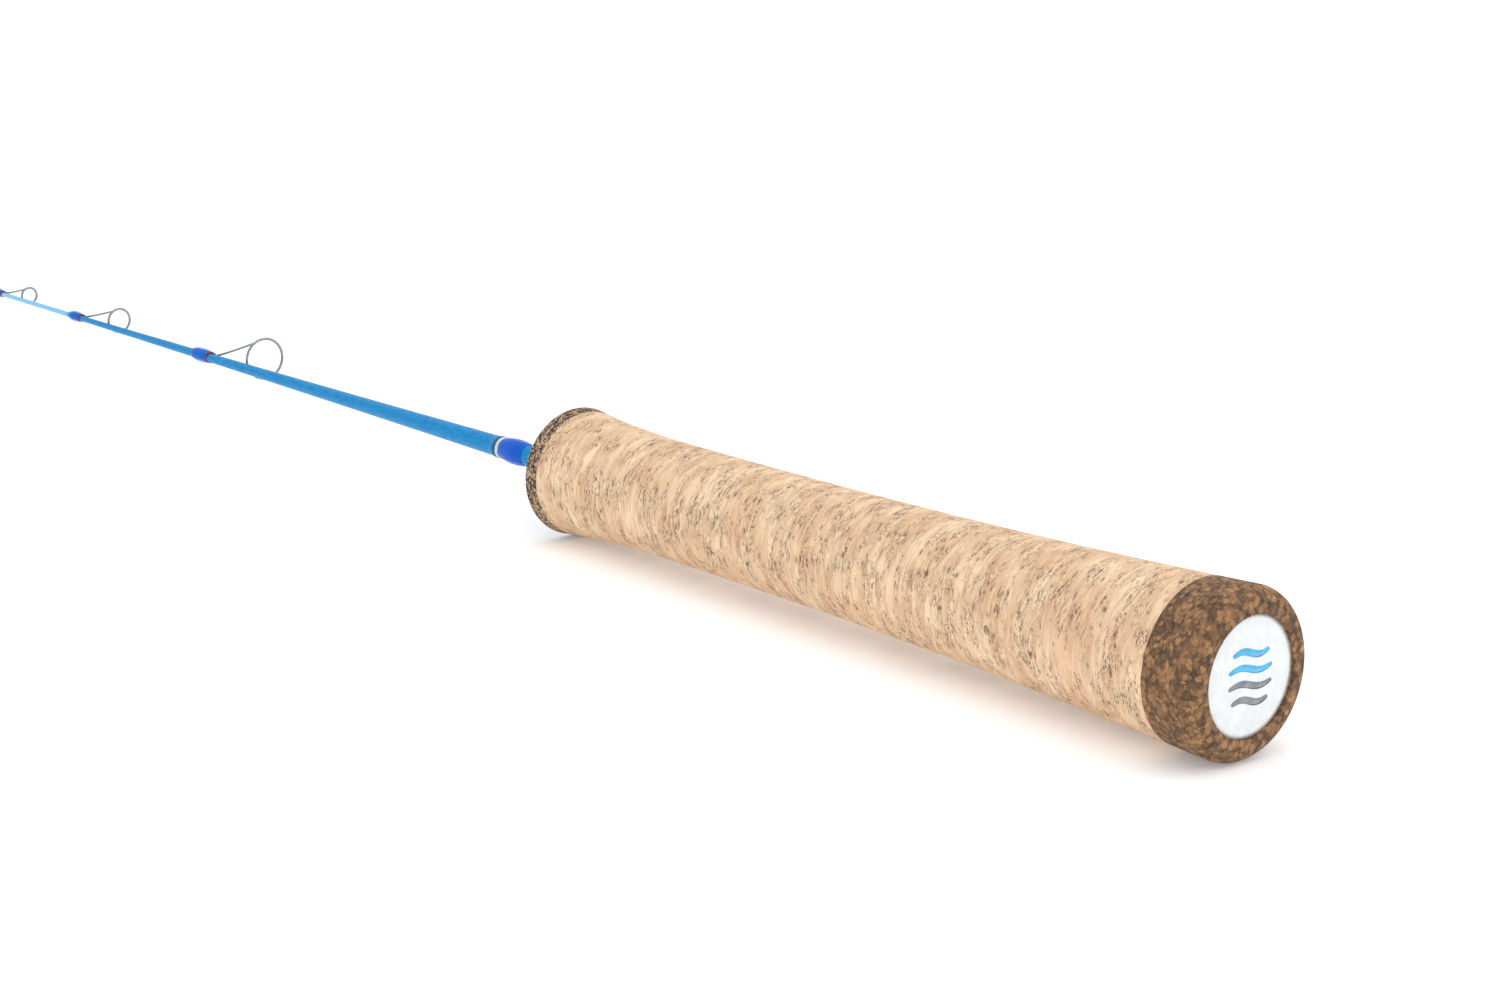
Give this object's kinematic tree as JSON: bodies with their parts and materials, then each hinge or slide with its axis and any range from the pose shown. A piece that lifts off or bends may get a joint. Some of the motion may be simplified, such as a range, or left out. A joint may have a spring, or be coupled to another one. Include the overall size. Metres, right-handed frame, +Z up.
{
  "type": "ice fishing rod",
  "caption": "Short solid ice fishing rod with a straight full cork grip, thread-wrapped single-foot wire guides and a tip-top.",
  "frame": {"origin": "centre of the butt cap's flat end, on the rod's axis", "axes": "+X along the rod from the butt to the tip; +Z up as the rod lies on a table; the guides stand out towards -Y, rolled 78 degrees from straight up"},
  "size_m": [0.6096, 0.033, 0.033],
  "materials": {
    "cork": "light flor cork, sanded, with thin streaks and small dark pits",
    "burl_cork": "dark rubberised burl cork, speckled",
    "badge": "printed disc under a clear gloss",
    "blank_lacquer": "gloss blue lacquer over a solid glass-fibre blank",
    "thread_blue": "close-wound nylon thread",
    "thread_silver": "close-wound metallic silver thread",
    "thread_teal": "close-wound teal thread",
    "thread_red": "close-wound metallic dark red thread",
    "epoxy": "clear rod-finish epoxy, high gloss",
    "guide_steel": "dark polished stainless wire",
    "tape": "masking tape wound on the blank",
    "glue": "cured rod-building epoxy"
  },
  "bodies": {
    "root": {"blank": "blank_lacquer", "cork_grip": "cork", "cork_front_ring": "burl_cork", "cork_butt_cap": "burl_cork", "butt_badge": "badge", "arbor_rear": "tape", "arbor_front": "tape", "epoxy_bond": "glue", "butt_wrap_thread": "thread_blue", "butt_trim_silver": "thread_silver", "butt_trim_teal": "thread_teal", "butt_wrap_coat": "epoxy", "guide_1_ring": "guide_steel", "guide_1_frame": "guide_steel", "guide_1_wrap": "thread_blue", "guide_1_trim": "thread_red", "guide_1_coat": "epoxy", "guide_2_ring": "guide_steel", "guide_2_frame": "guide_steel", "guide_2_wrap": "thread_blue", "guide_2_trim": "thread_red", "guide_2_coat": "epoxy", "guide_3_ring": "guide_steel", "guide_3_frame": "guide_steel", "guide_3_wrap": "thread_blue", "guide_3_trim": "thread_red", "guide_3_coat": "epoxy", "guide_4_ring": "guide_steel", "guide_4_frame": "guide_steel", "guide_4_wrap": "thread_blue", "guide_4_trim": "thread_red", "guide_4_coat": "epoxy", "guide_5_ring": "guide_steel", "guide_5_frame": "guide_steel", "guide_5_wrap": "thread_blue", "guide_5_trim": "thread_red", "guide_5_coat": "epoxy", "tip_tube": "guide_steel", "tip_frame": "guide_steel", "tip_ring": "guide_steel", "tip_wrap": "thread_blue", "tip_coat": "epoxy"}
  },
  "joints": []
}
